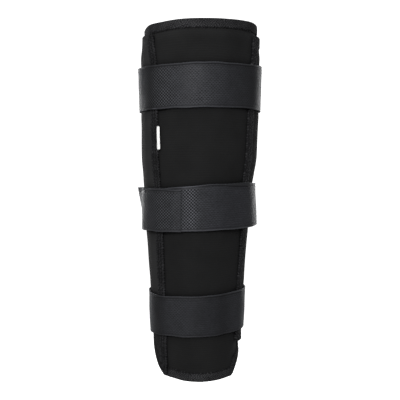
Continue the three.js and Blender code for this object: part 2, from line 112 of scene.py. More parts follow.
def curve(rows, col, key=0):
    at = np.array([r[key] for r in rows], float)
    v = np.array([r[col] for r in rows], float)
    s = np.diff(v) / np.diff(at)
    t = np.zeros_like(v)
    same = s[:-1] * s[1:] > 0
    t[1:-1][same] = (2 * s[:-1] * s[1:] / np.where(same, s[:-1] + s[1:], 1))[same]
    t[0], t[-1] = s[0], s[-1]

    def f(x):
        x = np.clip(np.asarray(x, float), at[0], at[-1])
        i = np.clip(np.searchsorted(at, x) - 1, 0, len(at) - 2)
        span = at[i + 1] - at[i]
        k = (x - at[i]) / span
        h = k * k * (3 - 2 * k)
        return v[i] * (1 - h) + v[i + 1] * h + span * (t[i] * k * (1 - k) ** 2 - t[i + 1] * k * k * (1 - k))

    return f


half, shin, calf, lean = (curve(SECTIONS, c) for c in (1, 2, 3, 4))


def place(turn, z, lift):
    turn, z, lift = np.broadcast_arrays(np.asarray(turn, float), np.asarray(z, float), np.asarray(lift, float))
    s, c = np.sin(np.radians(turn)), np.cos(np.radians(turn))
    a, b = half(z), np.where(c >= 0, shin(z), calf(z))
    nx, ny = s / a, -c / b
    n = np.hypot(nx, ny)
    return np.stack([lean(z) + a * s + lift * nx / n, -b * c + lift * ny / n, z], -1)


def turn_of(z):
    return 180 / np.pi / ((half(z) + shin(z)) / 2)


def waves(x, y, seed, size, count=7):
    """Smooth even unrest, from -1 to 1 or so, with features of about that size."""
    rng = np.random.default_rng(seed)
    total = 0
    for k in range(count):
        way, phase = rng.uniform(0, 2 * np.pi, 2)
        pitch = size * rng.uniform(0.7, 1.6)
        total = total + np.sin((x * np.cos(way) + y * np.sin(way)) * 2 * np.pi / pitch + phase)
    return total / math.sqrt(count)


# ---------------------------------------------------------------- outlines of the two walls
class Sheet:
    def __init__(self, ends, sides, corners, face, back):
        self.top, self.bottom = curve(ends, 1), curve(ends, 2)
        self.left, self.right = curve(sides, 1), curve(sides, 2)
        self.corners, self.face, self.back, self.middle = corners, face, back, 200.0
        self.tuck = lambda t, z: 0 * t


def tilt(f, x, k):
    """How much longer than its run a slanted edge is; k turns its rise into mm for one mm of run."""
    return np.hypot(1, (f(x + 1) - f(x - 1)) / 2 * k)


def outline(s, inset, across, up, arc):
    def low(t): return s.bottom(t) + inset * tilt(s.bottom, t, turn_of(s.bottom(t)))
    def high(t): return s.top(t) - inset * tilt(s.top, t, turn_of(s.top(t)))
    def on_left(z): return s.left(z) + inset * turn_of(z) * tilt(s.left, z, 1 / turn_of(z))
    def on_right(z): return s.right(z) - inset * turn_of(z) * tilt(s.right, z, 1 / turn_of(z))

    def corner(end, side, shape):
        radius, bend = shape[0], math.sin(math.radians(shape[1]))
        r = radius - inset
        r, k = (r, (radius * bend - inset) / r) if r > 0.8 and radius * bend - inset > 0.05 * r else (0.8, 1.0)

        def at(t):
            a = np.asarray(t, float) * math.asin(min(k, 1.0))
            inward, upward = 1 if side is on_left else -1, 1 if end is low else -1
            z = end(side(s.middle)) + 0 * a
            for _ in range(12):
                turn = side(z) + inward * r * (1 - np.cos(a)) * turn_of(z)
                z = end(turn) + upward * r * (k - np.sin(a))
            return np.stack([turn, z], -1)
        return at

    bl, br = corner(low, on_left, s.corners["bl"]), corner(low, on_right, s.corners["br"])
    tl, tr = corner(high, on_left, s.corners["tl"]), corner(high, on_right, s.corners["tr"])
    arcs = 0.5 + np.linspace(0, 1, arc + 1) / 2

    def ends(a, b, end):
        t0, t1 = a(1.0)[0], b(1.0)[0]
        t = t0 + (t1 - t0) * np.linspace(0, 1, across + 1)[1:-1]
        return np.concatenate([a(arcs), np.stack([t, end(t)], -1), b(1.5 - arcs)])

    def flank(a, b, edge):
        z0, z1 = a(0.0)[1], b(0.0)[1]
        z = z0 + (z1 - z0) * np.linspace(0, 1, up + 1)[1:-1]
        return np.concatenate([a(1 - arcs), np.stack([edge(z), z], -1), b(1 - (1.5 - arcs))])

    return dict(low=ends(bl, br, low), high=ends(tl, tr, high), left=flank(bl, tl, on_left), right=flank(br, tr, on_right))


def loop(o):
    return np.concatenate([o["low"][:-1], o["right"][:-1], o["high"][:0:-1], o["left"][:0:-1]])


def fill(o):
    low, high, left, right = o["low"], o["high"], o["left"], o["right"]
    u = np.linspace(0, 1, len(low))[None, :, None]
    v = np.linspace(0, 1, len(left))[:, None, None]
    return (low[None] * (1 - v) + high[None] * v + left[:, None] * (1 - u) + right[:, None] * u
            - ((low[0] * (1 - u) + low[-1] * u) * (1 - v) + (high[0] * (1 - u) + high[-1] * u) * v))


def from_edge(edge, at):
    """Distance of each (turn, z) from the closed line of (turn, z) points, in mm along the wall."""
    flat = at.reshape(-1, 2)
    out = np.empty(len(flat))
    a, b = edge, np.roll(edge, -1, 0)
    for i in range(0, len(flat), 2000):
        p = flat[i:i + 2000]
        k = 1 / turn_of(p[:, 1])[:, None]
        ax, ay = (a[None, :, 0] - p[:, None, 0]) * k, a[None, :, 1] - p[:, None, 1]
        dx, dy = (b - a)[None, :, 0] * k, (b - a)[None, :, 1]
        t = np.clip(-(ax * dx + ay * dy) / np.maximum(dx * dx + dy * dy, 1e-9), 0, 1)
        out[i:i + 2000] = np.hypot(ax + t * dx, ay + t * dy).min(1)
    return out.reshape(at.shape[:-1])


def pressed(squeeze, w):
    return squeeze * (1 - ease((w - SQUEEZE_WIDTH) / SQUEEZE_FADE))


wrap_lift = curve(WRAP_LIFT, 1)
panel = Sheet(PANEL_ENDS, PANEL_SIDES, PANEL_CORNERS,
              lambda t, w: -pressed(PANEL_SQUEEZE, w) + 0 * t, lambda t: -PANEL_WALL + 0 * t)
wrap = Sheet(WRAP_ENDS, WRAP_SIDES, WRAP_CORNERS,
             lambda t, w: wrap_lift(t) + WRAP_WALL - pressed(WRAP_SQUEEZE, w), lambda t: wrap_lift(t))
# the wrap's two front edges, and its upper edge on the left, are drawn in against the panel
def drawn_in(t, z):
    upper = 1.0 * ease((z - 383) / 14) * ease((t - 240) / 18)
    edge = np.minimum(wrap.right(z) - t, t - wrap.left(z)) / turn_of(z)
    return np.maximum(upper, 0.7 * (1 - ease((edge - 2) / 14)))


wrap.tuck = drawn_in


# ---------------------------------------------------------------- straps: taut lines round the brace
def hull(points):
    p = points[np.lexsort((points[:, 1], points[:, 0]))]

    def chain(q):
        line = []
        for x in q:
            while len(line) > 1 and ((line[-1][0] - line[-2][0]) * (x[1] - line[-2][1])
                                     - (line[-1][1] - line[-2][1]) * (x[0] - line[-2][0])) <= 0:
                line.pop()
            line.append(x)
        return line

    return np.array(chain(list(p))[:-1] + chain(list(p[::-1]))[:-1])


def taut_line(z):
    r, l = float(wrap.left(z)), float(wrap.right(z))
    turn = np.sort(np.concatenate([np.arange(0, 360, 1.5), [r, l]]))
    on = (turn >= r) & (turn <= l)
    over = np.maximum(WRAP_WALL, WRAP_WALL - WRAP_SQUEEZE + TAPE_GAP + TAPE_WALL)
    return hull(place(turn, z, np.where(on, wrap_lift(turn) + over, 0) + STRAP_CLEAR)[:, :2])


def reach(line, turn, z):
    d = np.stack([np.sin(np.radians(turn)), -np.cos(np.radians(turn))], -1)
    p, e = line - np.array([float(lean(z)), 0.0]), np.roll(line, -1, 0) - line
    det = d[:, None, 0] * e[None, :, 1] - d[:, None, 1] * e[None, :, 0]
    with np.errstate(divide="ignore", invalid="ignore"):
        t = (p[None, :, 0] * e[None, :, 1] - p[None, :, 1] * e[None, :, 0]) / det
        s = (p[None, :, 0] * d[:, None, 1] - p[None, :, 1] * d[:, None, 0]) / det
    ok = (np.abs(det) > 1e-9) & (t > 0) & (s >= -1e-6) & (s <= 1 + 1e-6)
    return np.where(ok, t, 0).max(1)


def stand_off(off, turn):
    s, c = np.sin(np.radians(turn)), np.cos(np.radians(turn))
    return s * s * np.where(s > 0, off["right"], off["left"]) + c * c * np.where(c > 0, off["shin"], off["calf"])


class Reach:
    """The taut line's distance from the axis on a grid of heights and turns."""

    def __init__(self, z0, z1):
        self.z = np.arange(z0, z1 + 2.5, 2.5)
        self.t = np.arange(0, 360, 1.5)
        rows = np.stack([reach(taut_line(z), self.t, z) for z in self.z])
        # webbing bends softly over an edge
        near = np.arange(-6, 7)
        share = np.exp(-(near * 1.5 / 4.0) ** 2 / 2)
        self.r = sum(s * np.roll(rows, k, 1) for s, k in zip(share / share.sum(), near)) + 0.05

    def __call__(self, turn, z):
        t = (np.asarray(turn, float) % 360) / 1.5
        i = np.floor(t).astype(int) % len(self.t)
        j, ft = (i + 1) % len(self.t), t - np.floor(t)
        k = np.clip((np.asarray(z, float) - self.z[0]) / 2.5, 0, len(self.z) - 1.001)
        a = np.floor(k).astype(int)
        fz, r = k - a, self.r
        return (r[a, i] * (1 - ft) + r[a, j] * ft) * (1 - fz) + (r[a + 1, i] * (1 - ft) + r[a + 1, j] * ft) * fz


def strap_edges(s, step):
    """Stations along the strap: turn, then the inner radius and height of the upper and of the lower edge."""
    turn = s["start"] + np.arange(int(round(s["laps"] / step)) + 1) * step
    rad = np.radians(turn)
    up, drop = s["top"] + s["right"] * np.sin(rad) + s["sides"] * (1 - np.cos(rad)), 0
    for at, spread, above, below in s["pulls"]:
        near = np.exp(-(((turn - at + 180) % 360 - 180) / spread) ** 2)
        up, drop = up + above * near, drop + (below - above) * near
    fall = s["tip"] * ease((turn - (turn[-1] - 34)) / 30)
    up, drop = up - fall, drop + fall
    far = Reach(up.min() - s["width"] - 6, up.max() + 4)
    lap = (STRAP_WALL + STRAP_LAP) * ease((turn - (s["start"] + 360 - LAP_RAMP)) / LAP_RAMP + 0.05)
    curl = np.exp(-((turn - s["flare"]["turn"]) / s["flare"]["spread"]) ** 2)
    low = up - s["width"]
    for _ in range(4):
        ru, rm, rl = far(turn, up), far(turn, (up + low) / 2), far(turn, low)
        rise = np.maximum(0, rm - (ru + rl) / 2)
        iu = ru + rise + lap + stand_off(s["upper"], turn) + s["flare"]["upper"] * curl
        il = rl + rise + lap + stand_off(s["lower"], turn) + s["flare"]["lower"] * curl
        low = up + drop - np.sqrt(s["width"] ** 2 - (iu - il) ** 2)
    return turn, iu, up, il, low


# ---------------------------------------------------------------- meshes
def piece(name, points, faces, paint, node=None, marks=()):
    """A closed smooth mesh from points in mm. marks are named values for each point, which the material reads."""
    points = np.asarray(points, float) * 0.001
    mesh = bpy.data.meshes.new(name)
    mesh.from_pydata(points.tolist(), [], faces)
    mesh.validate()
    mesh.update()
    tri = np.array([(f[0], f[k], f[k + 1]) for f in faces for k in range(1, len(f) - 1)])
    a, b, c = points[tri[:, 0]], points[tri[:, 1]], points[tri[:, 2]]
    if np.einsum("ij,ij->i", a, np.cross(b, c)).sum() < 0:
        mesh.flip_normals()
    for key, value in marks:
        value = np.asarray(value, float)
        kind = "FLOAT_VECTOR" if value.ndim == 2 else "FLOAT"
        made = mesh.attributes.new(key, kind, "POINT")
        made.data.foreach_set("vector" if value.ndim == 2 else "value", value.ravel())
    mesh.shade_smooth()
    mesh.materials.append(paint)
    obj = bpy.data.objects.new(name, mesh)
    bpy.context.scene.collection.objects.link(obj)
    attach(obj, "root")
    if node:
        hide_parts(node)
    return obj


def grid_faces(rows, columns, start=0):
    a = (np.arange(rows - 1)[:, None] * columns + np.arange(columns - 1)[None]).ravel() + start
    return np.stack([a, a + 1, a + columns + 1, a + columns], -1)


def wall_faces(rows, columns):
    """Two grids of points, one behind the other, closed round the rim."""
    front, shift = grid_faces(rows, columns), rows * columns
    rim = np.concatenate([
        np.arange(columns - 1), np.arange(rows - 1) * columns + columns - 1,
        (rows - 1) * columns + np.arange(columns - 1, 0, -1), np.arange(rows - 1, 0, -1) * columns])
    after = np.roll(rim, -1)
    side = np.stack([rim, rim + shift, after + shift, after], -1)
    return np.concatenate([front, front[:, ::-1] + shift, side]).tolist()


def ring_faces(n, m, closed):
    i, j = np.meshgrid(np.arange(n if closed else n - 1), np.arange(m), indexing="ij")
    a, b = (i * m + j).ravel(), (i * m + (j + 1) % m).ravel()
    k = ((i + 1) % n) * m
    d, c = (k + j).ravel(), (k + (j + 1) % m).ravel()
    faces = np.stack([a, b, c, d], -1).tolist()
    if not closed:
        faces += [list(range(m))[::-1], list(range((n - 1) * m, n * m))]
    return faces


# ---------------------------------------------------------------- materials
class Kit:
    """Short names for the nodes of one material."""

    def __init__(self, name):
        self.material = bpy.data.materials.new(name)
        self.material.use_nodes = True
        self.tree = self.material.node_tree
        self.tree.nodes.clear()
        out = self.node("ShaderNodeOutputMaterial")
        self.shader = self.node("ShaderNodeBsdfPrincipled")
        self.join(self.shader.outputs[0], out.inputs[0])

    def node(self, kind, **settings):
        made = self.tree.nodes.new(kind)
        for key, value in settings.items():
            setattr(made, key, value)
        return made

    def join(self, value, socket):
        if isinstance(value, bpy.types.NodeSocket):
            self.tree.links.new(value, socket)
        else:
            socket.default_value = value

    def math(self, operation, *values):
        made = self.node("ShaderNodeMath", operation=operation)
        for value, socket in zip(values, made.inputs):
            self.join(value, socket)
        return made.outputs[0]

    def scale(self, value, low, high, to_low=0.0, to_high=1.0, smooth=True):
        made = self.node("ShaderNodeMapRange", interpolation_type="SMOOTHSTEP" if smooth else "LINEAR")
        for value, socket in zip((value, low, high, to_low, to_high), made.inputs):
            self.join(value, socket)
        return made.outputs[0]

    def mark(self, name):
        return self.node("ShaderNodeAttribute", attribute_name=name)

    def split(self, vector):
        made = self.node("ShaderNodeSeparateXYZ")
        self.join(vector, made.inputs[0])
        return made.outputs

    def noise(self, size, detail=2.0, stretch=(1, 1, 1), rough=0.5):
        """Unrest with features of about that size in mm, in the object's own frame."""
        at = self.node("ShaderNodeTexCoord").outputs["Object"]
        place = self.node("ShaderNodeMapping")
        place.inputs["Scale"].default_value = tuple(1000.0 / size / k for k in stretch)
        self.join(at, place.inputs["Vector"])
        made = self.node("ShaderNodeTexNoise")
        made.inputs["Scale"].default_value = 1.0
        made.inputs["Detail"].default_value = detail
        made.inputs["Roughness"].default_value = rough
        self.join(place.outputs[0], made.inputs["Vector"])
        return made.outputs[0]

    def blend(self, factor, a, b):
        made = self.node("ShaderNodeMix", data_type="RGBA")
        for value, socket in ((factor, made.inputs[0]), (a, made.inputs[6]), (b, made.inputs[7])):
            self.join((*value, 1.0) if isinstance(value, tuple) else value, socket)
        return made.outputs[2]

    def tint(self, colour, share):
        """The colour times a number."""
        made = self.node("ShaderNodeVectorMath", operation="SCALE")
        self.join(colour, made.inputs[0])
        self.join(share, made.inputs["Scale"])
        return made.outputs[0]

    def bump(self, height, distance, strength=1.0, under=None):
        """distance in mm for a height from 0 to 1."""
        made = self.node("ShaderNodeBump")
        made.inputs["Strength"].default_value = strength
        made.inputs["Distance"].default_value = distance * 0.001
        self.join(height, made.inputs["Height"])
        if under is not None:
            self.join(under, made.inputs["Normal"])
        return made.outputs[0]

    def finish(self, color, roughness, normal, specular, sheen, sheen_roughness, tint):
        s = self.shader.inputs
        self.join(color, s["Base Color"])
        self.join(roughness, s["Roughness"])
        self.join(normal, s["Normal"])
        s["Specular IOR Level"].default_value = specular
        s["Sheen Weight"].default_value = sheen
        s["Sheen Roughness"].default_value = sheen_roughness
        s["Sheen Tint"].default_value = (*tint, 1.0)
        return self.material


def laminate(name, dark, light, rib, specular, sheen, pebbles):
    """Smooth knit on foam: courses across the leg, faint wales, a soft unevenness of tone, painted shade under and
    beside a strap, and on the panel painted light below the top tape.
    """
    k = Kit(name)
    x, z, _ = k.split(k.mark("lay").outputs["Vector"])
    course = k.math("SINE", k.math("MULTIPLY", k.math("MULTIPLY_ADD", k.noise(9, 1.0, (3, 3, 1)), 2.4, z), 2 * math.pi / 2.6))
    wale = k.math("SINE", k.math("MULTIPLY", x, 2 * math.pi / 0.9))
    knit = k.math("MULTIPLY_ADD", k.math("MULTIPLY", course, wale), 0.15, k.math("MULTIPLY_ADD", course, 0.35, 0.5))
    cloud, grain = k.noise(38, 3.0), k.noise(0.9, 2.0)
    tone = k.math("ADD", k.math("MULTIPLY_ADD", k.scale(cloud, 0.3, 0.7), 0.3, 0.08), k.math("MULTIPLY", grain, 0.25))
    tone = k.math("MULTIPLY_ADD", k.math("MULTIPLY", knit, k.scale(k.noise(24, 2.0), 0.35, 0.65, 0.4, 1.0)), 0.4, tone)
    soft = k.bump(k.noise(7, 2.0), 0.25, 0.5)
    fine = k.bump(k.math("MULTIPLY_ADD", grain, 0.35, k.math("MULTIPLY", knit, rib)), 0.12, 0.7, soft)
    colour = k.blend(tone, dark, light)
    if pebbles:
        # the edge of the wrap on the right and its lower end are of the tape's knit
        here = k.math("MAXIMUM", k.scale(x, 84, 96, 1.0, 0.0), k.scale(z, 44, 56, 1.0, 0.0))
        jig = k.math("MULTIPLY", k.math("SUBTRACT", k.noise(4, 1.0), 0.5), 3.2)
        pebble = k.math("MULTIPLY", k.math("COSINE", k.math("MULTIPLY", k.math("ADD", x, jig), 2 * math.pi / 2.9)),
                        k.math("COSINE", k.math("MULTIPLY", k.math("ADD", z, jig), 2 * math.pi / 3.1)))
        pebble = k.math("MULTIPLY_ADD", k.math("SUBTRACT", k.noise(1.4, 2.0), 0.5), 0.8, pebble)
        pebble = k.scale(pebble, -0.6, 0.6)
        # painted shade: the hollows between the pebbles are painted dark
        colour = k.blend(k.math("MULTIPLY", here, k.scale(pebble, 0.0, 0.6, 0.75, 0.0)), colour, (0.004, 0.004, 0.0044))
        fine = k.bump(k.math("MULTIPLY", here, pebble), 0.45, 0.9, fine)
    # painted light and shade from the mark: darker under and beside a strap, lighter below the panel's top tape
    colour = k.tint(colour, k.mark("painted_shade_and_light").outputs["Fac"])
    rough = k.scale(grain, 0.2, 0.8, 0.72, 0.9)
    return k.finish(colour, rough, fine, specular, sheen, 0.5, (0.9, 0.93, 1.0))


def pebbly():
    """Knit tape: small raised pebbles, with painted shade in the hollows between them."""
    k = Kit("tape")
    height = k.mark("pebble").outputs["Fac"]
    grain, tuft = k.noise(0.55, 2.0), k.noise(2.2, 2.0)
    tone = k.math("MULTIPLY_ADD", grain, 0.25, k.math("MULTIPLY", k.scale(height, 0.15, 0.95), 0.8))
    tone = k.math("MULTIPLY_ADD", k.math("SUBTRACT", tuft, 0.5), 0.55, tone)
    tone = k.math("MULTIPLY", tone, k.scale(k.noise(14, 2.0), 0.3, 0.7, 0.7, 1.2))
    fine = k.bump(k.math("MULTIPLY_ADD", grain, 0.5, k.noise(0.25, 1.0)), 0.1, 0.8)
    rough = k.scale(grain, 0.2, 0.8, 0.75, 0.95)
    # painted light and shade: the tape's colour is scaled by a mark that varies with turn and height, with a darker
    # tone of its own on the wrap
    colour = k.tint(k.blend(tone, (0.003, 0.003, 0.0034), (0.052, 0.052, 0.055)), k.mark("tone_and_painted_light").outputs["Fac"])
    colour = k.blend(k.mark("calm").outputs["Fac"], colour, (0.021, 0.021, 0.022))
    return k.finish(colour, rough, fine, 0.06, 0.0, 0.4, (0.9, 0.93, 1.0))


def looped():
    """Strap: loop pile in a fine diamond pattern between woven edges."""
    k = Kit("strap")
    u, v, edge = k.split(k.mark("weave").outputs["Vector"])
    plain, seam, tone_and_painted_light = k.split(k.mark("wear_and_painted_light").outputs["Vector"])
    stray = k.math("SUBTRACT", k.noise(6, 1.0), 0.5)
    row = k.math("COSINE", k.math("MULTIPLY", k.math("MULTIPLY_ADD", stray, 0.8, u), math.pi / CELL))
    line = k.math("COSINE", k.math("MULTIPLY", k.math("MULTIPLY_ADD", stray, 0.8, v), math.pi / CELL))
    cells = k.math("MULTIPLY", row, line)
    worn = k.math("MULTIPLY", k.scale(k.noise(17, 2.0, (1, 1, 0.8)), 0.3, 0.7, 0.55, 1.2), plain)
    field = k.scale(edge, 2.6, 4.0)
    dots = k.math("MULTIPLY", k.math("MULTIPLY", cells, worn), field)
    fuzz, tuft, patch = k.noise(0.5, 3.0), k.noise(1.7, 2.0, (1.6, 1.6, 0.7)), k.noise(11, 2.0)
    tone = k.math("MULTIPLY_ADD", plain, -0.22, 0.5)
    tone = k.math("MULTIPLY_ADD", dots, 0.8, tone)
    rank = k.math("COSINE", k.math("MULTIPLY", k.math("MULTIPLY_ADD", stray, 1.6, v), 2 * math.pi / 2.3))
    rank = k.math("MULTIPLY", k.math("MULTIPLY", rank, field), k.math("SUBTRACT", 1.0, plain))
    tone = k.math("MULTIPLY_ADD", k.math("MULTIPLY", rank, k.scale(patch, 0.35, 0.65, 0.3, 1.0)), 0.16, tone)
    tone = k.math("MULTIPLY_ADD", k.math("SUBTRACT", fuzz, 0.5), 0.35, tone)
    tone = k.math("MULTIPLY_ADD", k.math("SUBTRACT", tuft, 0.5), 0.5, tone)
    tone = k.math("MULTIPLY_ADD", k.math("SUBTRACT", patch, 0.5), 0.25, tone)
    light = k.blend(plain, (0.029, 0.03, 0.0358), (0.08, 0.083, 0.095))
    loops = k.blend(tone, (0.0008, 0.0009, 0.0014), light)
    rib = k.math("SINE", k.math("MULTIPLY", u, 2 * math.pi / 1.1))
    woven = k.blend(k.math("MULTIPLY_ADD", rib, 0.2, fuzz), (0.018, 0.0185, 0.0215), (0.052, 0.0535, 0.061))
    # the bead mark lightens and darkens the woven edges by turn: partly their own tone, partly painted highlight and
    # shade, such as the glint where the top strap bends over the wrap's edge
    colour = k.blend(k.scale(edge, 1.2, 1.7), k.tint(woven, k.mark("bead").outputs["Fac"]), loops)
    # painted shade: the first dark line lies in the woven edge's groove, as shade there; the second is fainter and lies
    # on no groove
    groove = k.math("MULTIPLY", k.scale(edge, 1.7, 2.1), k.math("SUBTRACT", 1.0, k.scale(edge, 2.9, 3.4)))
    second = k.math("MULTIPLY", k.scale(edge, 4.2, 4.6), k.math("SUBTRACT", 1.0, k.scale(edge, 5.1, 5.5)))
    lines = k.math("MULTIPLY_ADD", second, 0.4, groove)
    colour = k.blend(k.math("MULTIPLY", lines, seam), colour, (0.003, 0.003, 0.004))
    # painted light and shade: the strap's colour is scaled by turn, lighter or darker as the light falls on it, with
    # some tone of its own
    colour = k.tint(colour, tone_and_painted_light)
    pile = k.bump(k.math("MULTIPLY_ADD", dots, 0.5, 0.5), 0.25, 0.6)
    fine = k.bump(k.math("MULTIPLY_ADD", tuft, 0.6, fuzz), 0.16, 0.9, pile)
    rough = k.scale(fuzz, 0.25, 0.75, 0.5, 0.68)
    return k.finish(colour, rough, fine, 0.2, 0.12, 0.3, (0.88, 0.92, 1.0))


def thread():
    k = Kit("thread")
    twist = k.noise(0.35, 2.0)
    colour = k.blend(twist, (0.003, 0.003, 0.0033), (0.012, 0.012, 0.013))
    return k.finish(colour, k.scale(twist, 0.2, 0.8, 0.55, 0.8), k.bump(twist, 0.08, 0.8), 0.12, 0.0, 0.5, (0.9, 0.93, 1.0))


def satin():
    k = Kit("label")
    x, z, _ = k.split(k.mark("lay").outputs["Vector"])
    weft = k.math("SINE", k.math("MULTIPLY", z, 2 * math.pi / 0.35))
    grain = k.noise(0.5, 2.0)
    tone = k.math("MULTIPLY_ADD", weft, 0.2, grain)
    return k.finish(k.blend(tone, (0.86, 0.86, 0.85), (0.95, 0.95, 0.94)), k.scale(grain, 0.2, 0.8, 0.3, 0.45),
                    k.bump(tone, 0.05, 0.5), 0.5, 0.1, 0.4, (1.0, 1.0, 1.0))


PANEL_CLOTH = laminate("panel", (0.007, 0.007, 0.0072), (0.0145, 0.0146, 0.0148), 0.6, 0.08, 0.02, False)
WRAP_CLOTH = laminate("wrap", (0.017, 0.017, 0.0173), (0.033, 0.033, 0.0337), 0.35, 0.03, 0.0, True)
TAPE_CLOTH, STRAP_CLOTH, THREAD, LABEL_CLOTH = pebbly(), looped(), thread(), satin()

# ---------------------------------------------------------------- the straps
STRAP_STEP = 0.75
edges = {name: strap_edges(s, STRAP_STEP) for name, s in STRAPS.items()}
# by turn and spread, how much more or less there is than elsewhere of:
# plain: the loops lie flat, so that the pattern shows; fold: width of the upper woven edge; strip: mm more of it; seam:
# depth of the line under it, whose dark colour there is painted shade; bead and hem: how light the upper and the lower
# woven edge are, partly painted highlight and shade; last, painted light and shade: the strap is painted lighter or
# darker by turn as the light falls on it, with some tone of its own
WEAR_AND_PAINTED_LIGHT = {
    "top_strap": dict(
        plain=[(-46, 9, 0.65), (-30, 12, 0.45), (0, 14, 0.18)], fold=[], strip=[], seam=[(30, 50, 0.1)], bead=[], hem=[(-45, 2.2, 2.0)],
        tone_and_painted_light=[(-51, 13, -0.66), (-28, 9, -0.12), (-3, 16, 0.12), (42, 16, -0.2), (58, 12, -0.45), (-86, 8, -0.1), (86, 8, -0.3)]),
    "middle_strap": dict(
        plain=[(-9, 8.5, 0.9), (40, 30, -0.14), (304, 18, 0.6), (328, 14, 0.6)], fold=[(20, 16, -0.4)], strip=[(58, 24, 1.9)],
        seam=[(46, 36, 0.3), (-9, 10, -0.75)], bead=[(50, 34, -0.6), (-9, 9, 0.6)], hem=[],
        tone_and_painted_light=[(302, 16, -0.4), (326, 12, -0.25), (-9, 9, 0.25), (17, 14, 0.2), (50, 18, 0.1)]),
    "bottom_strap": dict(
        plain=[(0, 120, -0.1), (-26, 12, 0.2)], fold=[], strip=[], seam=[], bead=[], hem=[(0, 300, -0.35)],
        tone_and_painted_light=[(-54, 16, -0.6), (-26, 10, -0.12), (4, 14, -0.2), (33, 14, -0.38), (-82, 9, -0.35)]),
}
# by turn and spread, how much higher the upper and the lower woven edge run there, in mm
BOW = {
    "top_strap": [(3, 14, 0.8, 0.2)], "middle_strap": [(-52, 12, 0.0, 1.2), (308, 12, 0.0, 1.2)],
    "bottom_strap": [(-42, 14, -0.6, 1.4), (-8, 22, 0.0, 0.6)],
}
# by turn, spread and height, where a strap bends over the wrap's edge below it
CREASE = {"top_strap": [(-45.5, 1.5, 0.3)], "middle_strap": [], "bottom_strap": [(-44.5, 1.5, 0.12)]}


def strap_profile(width):
    """Across the strap from the lower to the upper edge and back: distance from the lower edge, depth, side."""
    field = np.arange(0, width + 0.01, CELL / 2)
    field = field[(field > 4.6) & (field < width - 4.6)]
    selvage = np.array([0.5, 0.8, 1.1, 1.4, 1.7, 2.0, 2.35, 2.7, 3.1, 3.6, 4.2])
    across = np.concatenate([selvage, field, width - selvage[::-1]])
    high = STRAP_WALL - 0.32 + 0.2 * (1 - (2 * across / width - 1) ** 2)
    outer = np.stack([across, high, np.ones_like(across)], -1)
    up = [(width - 0.2, 1.3, 0.5), (width, 0.9, 0.5), (width - 0.2, 0.4, 0.5)]
    down = [(0.2, 0.4, 0.5), (0.0, 0.9, 0.5), (0.2, 1.3, 0.5)]
    under = [(x, 0.0, 0.0) for x in np.linspace(width - 0.7, 0.7, 9)]
    return np.concatenate([outer, up, under, down])


def woven_edge(e, deep):
    """The relief of a woven edge: a bead, a line of its own depth, and a low ridge."""
    return (0.2 * np.exp(-((e - 0.75) / 0.6) ** 2) - deep * np.exp(-((e - 2.2) / 0.45) ** 2)
            + 0.08 * np.exp(-((e - 3.4) / 0.5) ** 2))


def strap(name, s):
    turn, iu, up, il, low = edges[name]
    rad = np.radians(turn)
    seed = list(STRAPS).index(name) * 10
    along = np.concatenate([[0], np.cumsum(np.hypot(np.diff(np.sin(rad) * (iu + il) / 2), np.diff(np.cos(rad) * (iu + il) / 2)))])
    up = up + 0.22 * waves(along, 0 * along, seed + 1, 26)
    low = low + 0.22 * waves(along, 0 * along, seed + 2, 24)
    for at, spread, above, under in BOW[name]:
        near = np.exp(-((turn - at) / spread) ** 2)
        up, low = up + above * near, low + under * near
    width = s["width"]
    across, depth, side = strap_profile(width).T
    v = across / width
    r = il[:, None] * (1 - v) + iu[:, None] * v
    z = low[:, None] * (1 - v) + up[:, None] * v
    u, w = np.broadcast_arrays(along[:, None], across[None])

    def worn(key):
        return sum((more * np.exp(-((turn - at) / spread) ** 2) for at, spread, more in WEAR_AND_PAINTED_LIGHT[name][key]), 0 * turn)[:, None]

    fold, seam = 1 + worn("fold"), np.clip(0.75 + worn("seam"), 0, 1)
    deep = width - w
    above = np.where(deep < 0.8, deep, np.maximum(0.8, deep - worn("strip"))) / fold
    below = w + 0.0
    e = np.minimum(below, above)
    pile = 0.13 * np.cos(np.pi * u / CELL) * np.cos(np.pi * w / CELL) * ease((e - 2.2) / 1.4)
    soft = 0.16 * waves(u, w, seed + 3, 30) * ease((e - 1) / 6)
    for at, spread, high in CREASE[name]:
        soft = soft + high * (1 + 0.3 * waves(w, 0 * w, seed + 4, 9)) * np.exp(-((turn[:, None] - at) / spread) ** 2)
    relief = pile + soft + woven_edge(below, 0.1) + woven_edge(above, 0.1 + 0.35 * seam)
    # the end lies pressed into the layer below, so it runs out thin
    left = along[-1] - along
    thin = (0.12 + 0.88 * ease(left / 9))[:, None]
    lift = np.where(side[None] > 0.9, (depth[None] + relief) * thin, depth[None] * np.where(side[None] > 0.1, thin, 1))
    x = lean(z) + (r + lift) * np.sin(rad)[:, None]
    y = -(r + lift) * np.cos(rad)[:, None]
    points = np.stack([x, y, z], -1)
    n, m = points.shape[:2]
    mark = np.stack([u, w, e], -1)
    # the third value is painted light and shade by turn, with some tone of its own
    wear_and_painted_light = np.stack(np.broadcast_arrays(0.22 + worn("plain") + 0 * u, np.where(below < above, 0.3, seam), 1 + worn("tone_and_painted_light") + 0 * u), -1)
    made = piece(name, points.reshape(-1, 3), ring_faces(n, m, False), STRAP_CLOTH, name,
                 [("weave", mark.reshape(-1, 3)), ("wear_and_painted_light", wear_and_painted_light.reshape(-1, 3)),
                  ("bead", np.where(below < above, 1 + worn("hem"), 1 + worn("bead")).ravel())])
    return made, float(along[-1])


straps = {name: strap(name, s) for name, s in STRAPS.items()}


